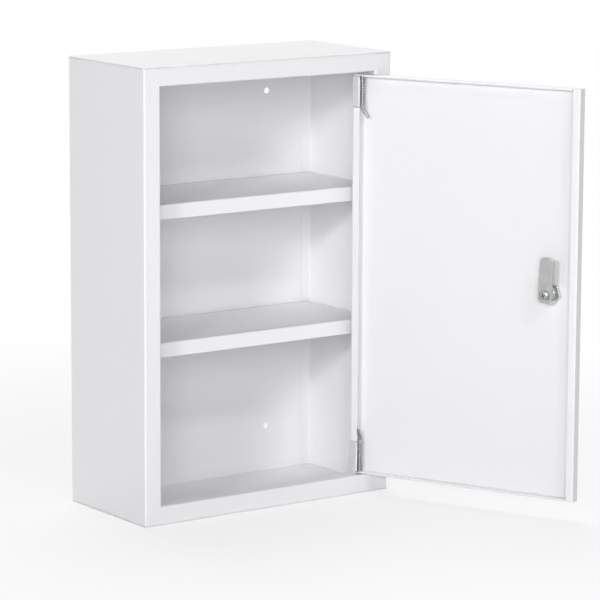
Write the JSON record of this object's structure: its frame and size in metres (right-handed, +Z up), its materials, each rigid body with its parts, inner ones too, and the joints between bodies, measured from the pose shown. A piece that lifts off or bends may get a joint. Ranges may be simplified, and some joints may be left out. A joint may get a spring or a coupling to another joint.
{
  "type": "lockable medicine cabinet",
  "caption": "Wall-mounted lockable medicine cabinet: folded white steel case with fixed shelves, an inset door on spring-loaded hinge pins, and a cam lock.",
  "frame": {"origin": "centre of the four wall holes, on the outer face of the back", "axes": "+Z up, +Y square to the back and into the wall, +X along the front towards the hinge side"},
  "size_m": [0.3746, 0.3601, 0.4572],
  "materials": {
    "white_powder_coat": "white powder coat on steel sheet, fine orange peel, semi-gloss",
    "zinc_plated_steel": "bright zinc plate on pressed and wound steel",
    "nickel_plated_steel": "nickel plate, satin on the cam and bright on the nut and barrel",
    "brass": "stamped brass"
  },
  "bodies": {
    "case": {"left_side_panel": "white_powder_coat", "right_side_panel": "white_powder_coat", "top_rail": "white_powder_coat", "bottom_rail": "white_powder_coat", "top_panel": "white_powder_coat", "bottom_panel": "white_powder_coat", "back_panel": "white_powder_coat", "lower_shelf": "white_powder_coat", "upper_shelf": "white_powder_coat", "upper_door_stop": "white_powder_coat", "lower_door_stop": "white_powder_coat"},
    "door": {"door_panel": "white_powder_coat", "upper_hinge_bracket": "zinc_plated_steel", "upper_pin_spring": "zinc_plated_steel", "lower_hinge_bracket": "zinc_plated_steel", "lower_pin_spring": "zinc_plated_steel", "lock_housing": "nickel_plated_steel", "lock_washer": "nickel_plated_steel", "lock_nut": "nickel_plated_steel"},
    "upper_pin": {"upper_hinge_pin": "zinc_plated_steel", "upper_pin_collar": "zinc_plated_steel"},
    "lower_pin": {"lower_hinge_pin": "zinc_plated_steel", "lower_pin_collar": "zinc_plated_steel"},
    "cam": {"lock_plug": "nickel_plated_steel", "lock_wafers": "brass", "cam_stop_washer": "nickel_plated_steel", "lock_cam": "nickel_plated_steel", "screw_washer": "nickel_plated_steel", "cam_screw": "nickel_plated_steel"}
  },
  "joints": [
    {"name": "door_swing", "type": "hinge", "parent": "case", "child": "door", "pos_m": [0.11895, -0.1327, 0], "axis": [0, 0, 1], "range_deg": [-114, 3]},
    {"name": "lock_turn", "type": "hinge", "parent": "door", "child": "cam", "pos_m": [0.20648, -0.3293, 0], "axis": [0.9135, 0.4067, 0], "range_deg": [0, 90]},
    {"name": "upper_pin_pull", "type": "slide", "parent": "door", "child": "upper_pin", "axis": [0, 0, -1], "range_m": [0, 0.008], "stiffness_N_per_m": 600, "springref_m": -0.004, "deforming": ["upper_pin_spring"]},
    {"name": "lower_pin_pull", "type": "slide", "parent": "door", "child": "lower_pin", "axis": [0, 0, 1], "range_m": [0, 0.006], "stiffness_N_per_m": 600, "springref_m": -0.004, "deforming": ["lower_pin_spring"]}
  ]
}
